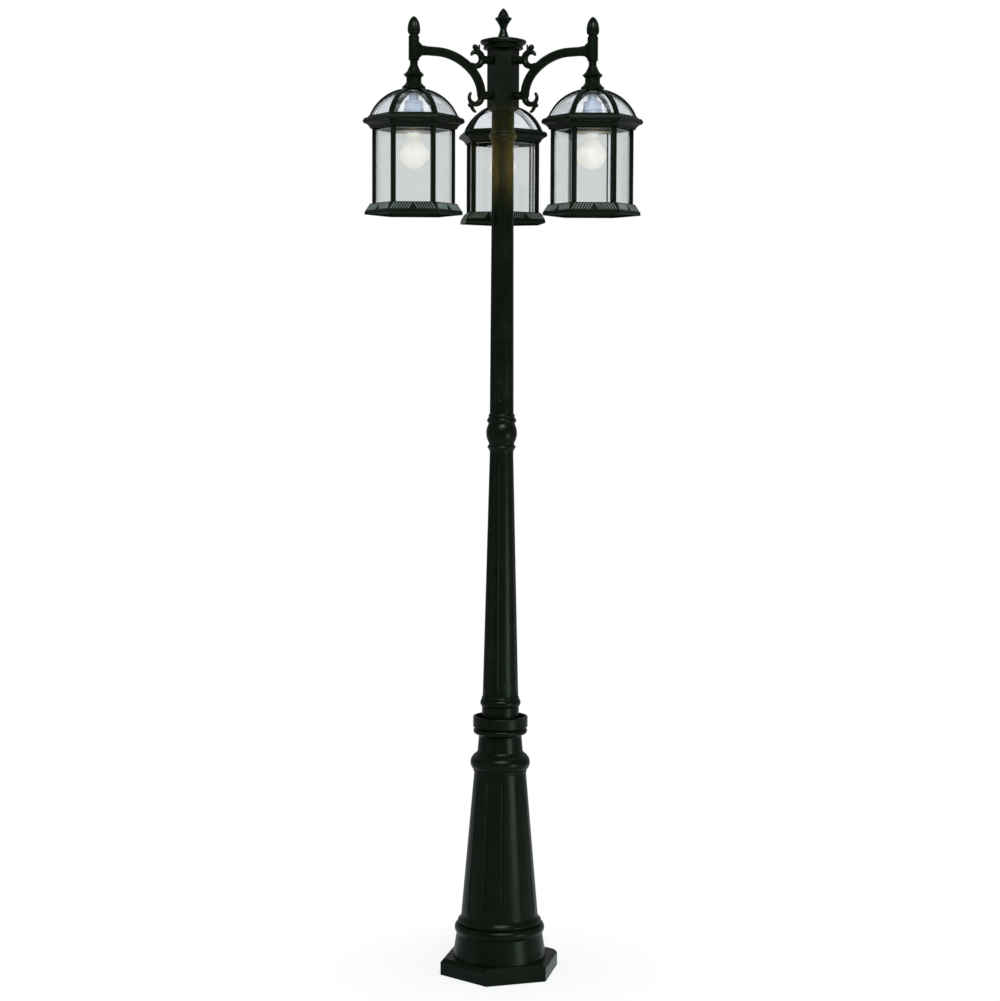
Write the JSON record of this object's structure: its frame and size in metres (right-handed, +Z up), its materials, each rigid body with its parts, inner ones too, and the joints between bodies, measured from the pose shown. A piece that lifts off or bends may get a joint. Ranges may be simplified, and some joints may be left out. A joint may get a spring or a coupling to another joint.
{
  "type": "triple head lamp post",
  "caption": "Garden lamp post with a hexagonal foot, fluted tapered shafts, a hexagonal hub and scrolled arms that carry hanging glazed hexagonal lanterns.",
  "frame": {"origin": "centre of the anchor plate's underside, on the ground and on the post's axis", "axes": "+Z up along the post; -Y towards the viewer in the picture; +X to the viewer's right"},
  "size_m": [0.6044, 0.5384, 2.15],
  "materials": {
    "coated_aluminium": "cast, semi-gloss greenish black powder coat",
    "coated_steel": "semi-gloss greenish black coat",
    "steel": "zinc plated",
    "clear_glass": "clear, polished",
    "frosted_glass": "frosted white",
    "bulb_cap_metal": "bright rolled cap",
    "white_porcelain": "glazed white",
    "gold_disc": "satin gold",
    "wire_jacket": "matt jacket",
    "connector_plastic": "moulded"
  },
  "bodies": {
    "post": {"anchor_plate": "coated_steel", "base_casting": "coated_aluminium", "foot_set_screws": "steel", "lower_shaft": "coated_aluminium", "shaft_coupling": "coated_aluminium", "upper_shaft": "coated_aluminium", "neck_collar": "coated_aluminium", "hub": "coated_aluminium", "hub_crossbar": "steel", "centre_rod": "steel", "rod_nuts": "steel", "arm_screws": "steel", "arm_lock_nuts": "steel", "lead_wires": "wire_jacket", "wire_connectors": "connector_plastic", "arm_1": "coated_aluminium", "acorn_finial_1": "coated_aluminium", "arm_2": "coated_aluminium", "acorn_finial_2": "coated_aluminium", "arm_3": "coated_aluminium", "acorn_finial_3": "coated_aluminium"},
    "cap": {"hub_cap": "coated_aluminium", "top_finial": "coated_aluminium"},
    "head_1": {"bell_1": "coated_aluminium", "dome_frame_1": "coated_aluminium", "dome_glass_1": "clear_glass", "cage_1": "coated_aluminium", "side_glass_1": "clear_glass", "lantern_screws_1": "coated_steel", "stem_1": "steel", "stem_nuts_1": "steel", "lamp_holder_1": "white_porcelain", "reflector_1": "gold_disc"},
    "bulb_1": {"bulb_glass_1": "frosted_glass", "bulb_base_1": "bulb_cap_metal"},
    "head_2": {"bell_2": "coated_aluminium", "dome_frame_2": "coated_aluminium", "dome_glass_2": "clear_glass", "cage_2": "coated_aluminium", "side_glass_2": "clear_glass", "lantern_screws_2": "coated_steel", "stem_2": "steel", "stem_nuts_2": "steel", "lamp_holder_2": "white_porcelain", "reflector_2": "gold_disc"},
    "bulb_2": {"bulb_glass_2": "frosted_glass", "bulb_base_2": "bulb_cap_metal"},
    "head_3": {"bell_3": "coated_aluminium", "dome_frame_3": "coated_aluminium", "dome_glass_3": "clear_glass", "cage_3": "coated_aluminium", "side_glass_3": "clear_glass", "lantern_screws_3": "coated_steel", "stem_3": "steel", "stem_nuts_3": "steel", "lamp_holder_3": "white_porcelain", "reflector_3": "gold_disc"},
    "bulb_3": {"bulb_glass_3": "frosted_glass", "bulb_base_3": "bulb_cap_metal"}
  },
  "joints": [
    {"name": "cap_lift", "type": "slide", "parent": "post", "child": "cap", "axis": [0, 0, 1], "range_m": [0, 0.12]},
    {"name": "lantern_1_swivel", "type": "hinge", "parent": "post", "child": "head_1", "pos_m": [-0.19226, -0.111, 2.0223], "axis": [0, 0, 1], "range_deg": [-180, 180]},
    {"name": "lantern_2_swivel", "type": "hinge", "parent": "post", "child": "head_2", "pos_m": [0.19226, -0.111, 2.0223], "axis": [0, 0, 1], "range_deg": [-180, 180]},
    {"name": "lantern_3_swivel", "type": "hinge", "parent": "post", "child": "head_3", "pos_m": [0, 0.222, 2.0223], "axis": [0, 0, 1], "range_deg": [-180, 180]},
    {"name": "bulb_1_removal", "type": "slide", "parent": "head_1", "child": "bulb_1", "axis": [0, 0, -1], "range_m": [0, 0.2]},
    {"name": "bulb_2_removal", "type": "slide", "parent": "head_2", "child": "bulb_2", "axis": [0, 0, -1], "range_m": [0, 0.2]},
    {"name": "bulb_3_removal", "type": "slide", "parent": "head_3", "child": "bulb_3", "axis": [0, 0, -1], "range_m": [0, 0.2]}
  ]
}
